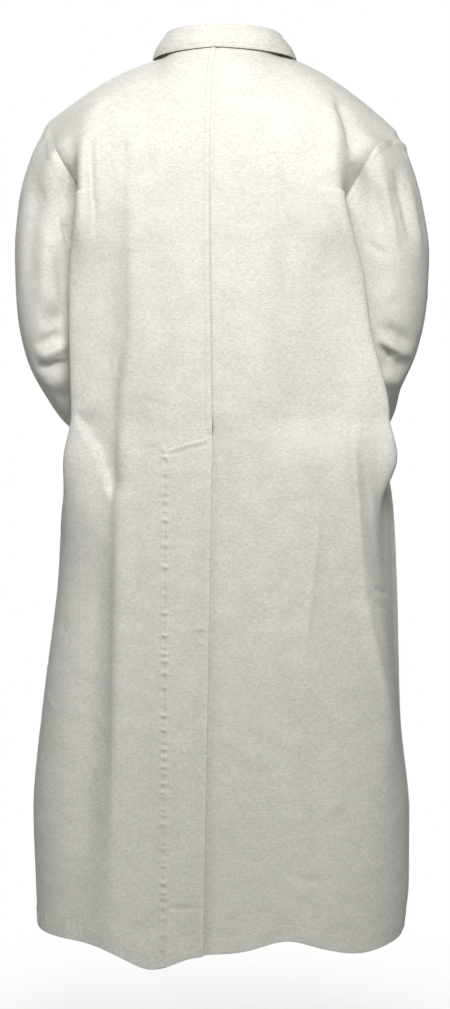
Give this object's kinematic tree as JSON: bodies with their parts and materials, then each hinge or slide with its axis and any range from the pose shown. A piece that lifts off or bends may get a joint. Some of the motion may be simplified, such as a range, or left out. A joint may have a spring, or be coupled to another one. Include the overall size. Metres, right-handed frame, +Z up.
{
  "type": "duster coat",
  "caption": "Long loose duster coat, worn form, turned-down collar, bent sleeves and a long centre back vent.",
  "frame": {"origin": "middle of the neck opening, at the height of the back neck seam", "axes": "+Z up, +X to the wearer's left, -Y to the wearer's front"},
  "size_m": [0.595, 0.4184, 1.3144],
  "materials": {
    "canvas": "undyed linen and cotton canvas, plain weave, matt",
    "horn": "dark horn-like button, low gloss"
  },
  "bodies": {
    "root": {"back_left": "canvas", "back_right": "canvas", "front_left": "canvas", "front_right": "canvas", "sleeve_left": "canvas", "sleeve_right": "canvas", "collar": "canvas", "button_1": "horn", "button_2": "horn", "button_3": "horn", "button_4": "horn", "button_5": "horn"}
  },
  "joints": []
}
